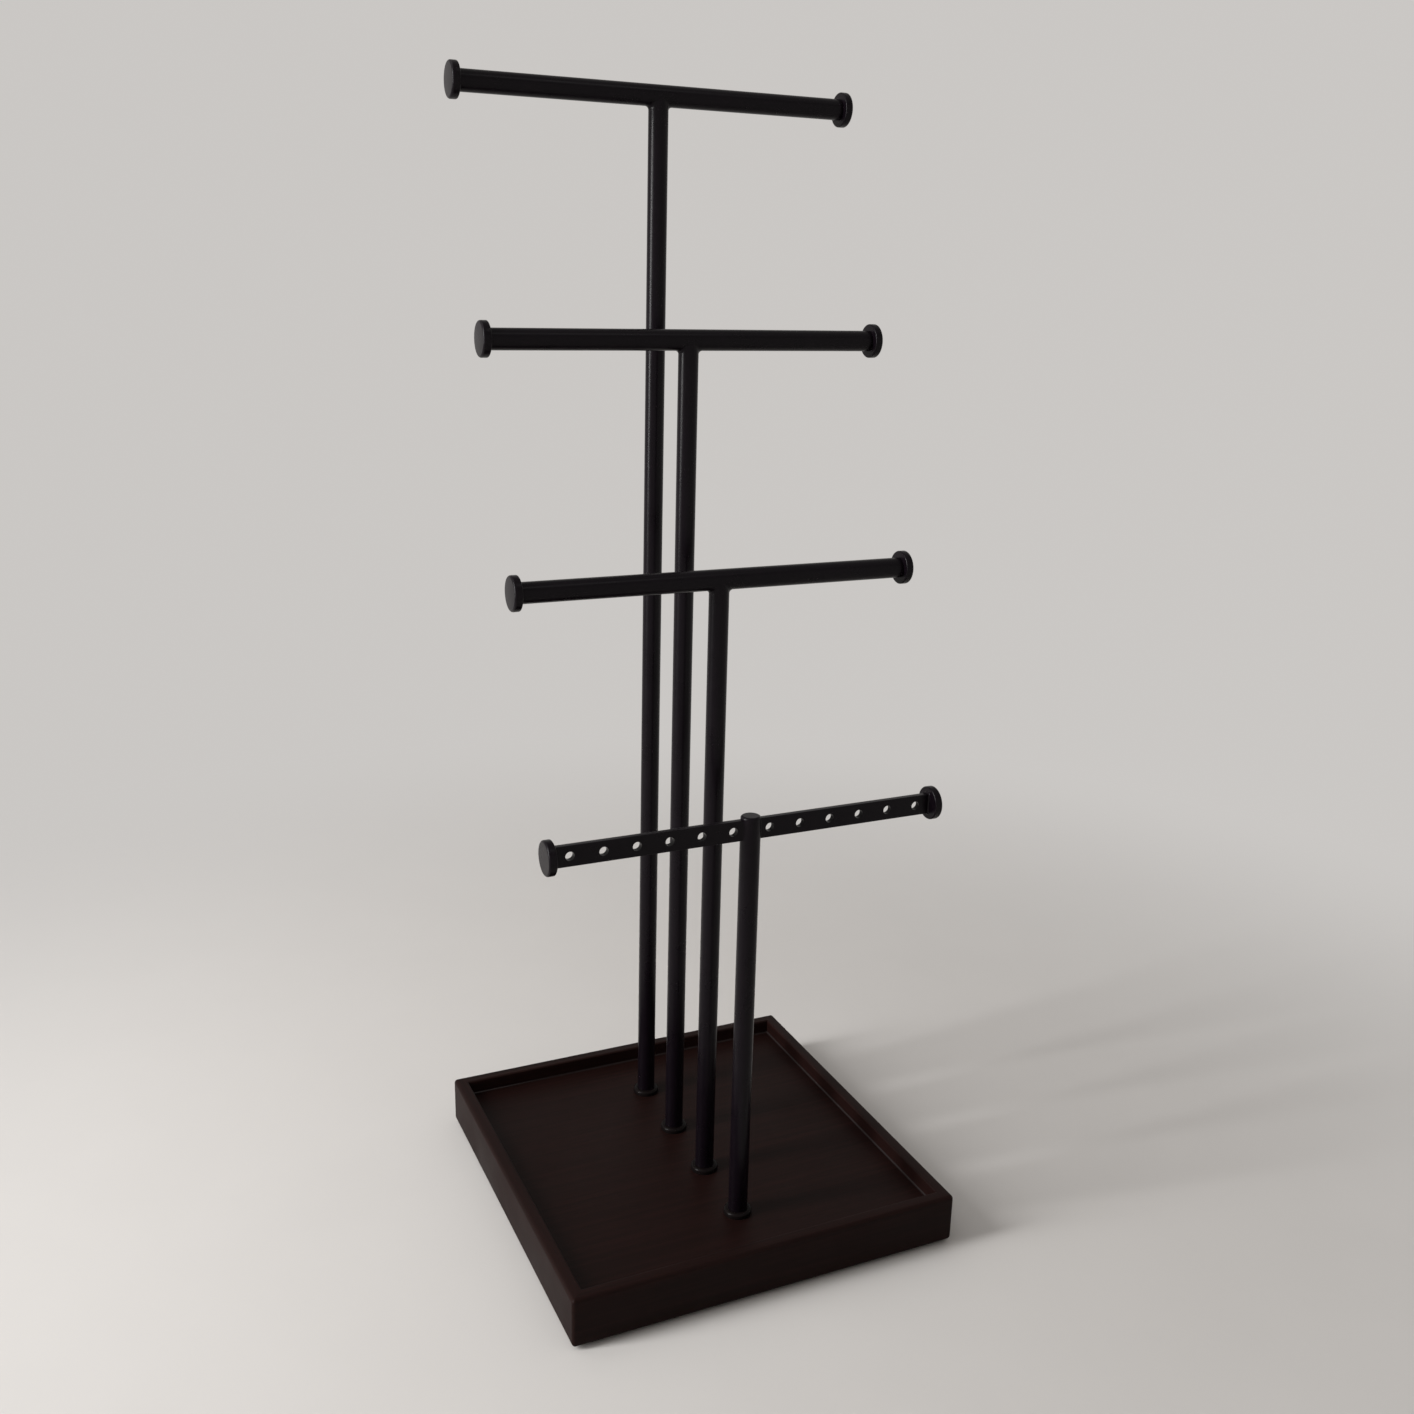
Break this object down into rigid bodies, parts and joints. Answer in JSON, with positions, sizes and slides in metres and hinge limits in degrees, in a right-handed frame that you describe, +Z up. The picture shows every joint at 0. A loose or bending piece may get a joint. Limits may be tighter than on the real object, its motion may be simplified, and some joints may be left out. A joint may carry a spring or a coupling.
{
  "type": "jewelry tree",
  "caption": "Free-standing jewellery tree: a shallow square tray with a row of upright posts that carry round crossbars for necklaces and bracelets and a holed strip for earrings.",
  "frame": {"origin": "on the table under the middle of the tray, at the underside of the foot pads", "axes": "+Z up along the posts, X along the crossbars, +Y from the earring strip at the front to the tallest post at the back"},
  "size_m": [0.18, 0.18, 0.494],
  "materials": {
    "stained_wood": "black-brown stain under satin lacquer",
    "powder_coat": "satin black powder coat on steel",
    "collar_plastic": "gloss black moulded",
    "zinc_steel": "zinc plated",
    "foam_pad": "matte foam"
  },
  "bodies": {
    "tray": {"foot_pad_back_left": "foam_pad", "foot_pad_back_right": "foam_pad", "foot_pad_front_left": "foam_pad", "foot_pad_front_right": "foam_pad", "tray_board": "stained_wood", "tray_rail_back": "stained_wood", "tray_rail_front": "stained_wood", "tray_rail_left": "stained_wood", "tray_rail_right": "stained_wood"},
    "top_tier": {"top_collar": "collar_plastic", "top_crossbar": "powder_coat", "top_end_cap_left": "powder_coat", "top_end_cap_right": "powder_coat", "top_post": "powder_coat", "top_screw": "zinc_steel", "top_screw_plug": "zinc_steel", "top_washer": "zinc_steel"},
    "upper_tier": {"upper_collar": "collar_plastic", "upper_crossbar": "powder_coat", "upper_end_cap_left": "powder_coat", "upper_end_cap_right": "powder_coat", "upper_post": "powder_coat", "upper_screw": "zinc_steel", "upper_screw_plug": "zinc_steel", "upper_washer": "zinc_steel"},
    "lower_tier": {"lower_collar": "collar_plastic", "lower_crossbar": "powder_coat", "lower_end_cap_left": "powder_coat", "lower_end_cap_right": "powder_coat", "lower_post": "powder_coat", "lower_screw": "zinc_steel", "lower_screw_plug": "zinc_steel", "lower_washer": "zinc_steel"},
    "earring_tier": {"earring_collar": "collar_plastic", "earring_end_cap_left": "powder_coat", "earring_end_cap_right": "powder_coat", "earring_post": "powder_coat", "earring_post_plug": "powder_coat", "earring_screw": "zinc_steel", "earring_screw_plug": "zinc_steel", "earring_strip": "powder_coat", "earring_washer": "zinc_steel"}
  },
  "joints": [
    {"name": "top_swivel", "type": "hinge", "parent": "tray", "child": "top_tier", "pos_m": [0, 0.054, 0.017], "axis": [0, 0, 1], "continuous": true},
    {"name": "upper_swivel", "type": "hinge", "parent": "tray", "child": "upper_tier", "pos_m": [0, 0.018, 0.017], "axis": [0, 0, 1], "range_deg": [-74, 74]},
    {"name": "lower_swivel", "type": "hinge", "parent": "tray", "child": "lower_tier", "pos_m": [0, -0.018, 0.017], "axis": [0, 0, 1], "range_deg": [-74, 74]},
    {"name": "earring_swivel", "type": "hinge", "parent": "tray", "child": "earring_tier", "pos_m": [0, -0.054, 0.017], "axis": [0, 0, 1], "range_deg": [-78, 78]}
  ]
}
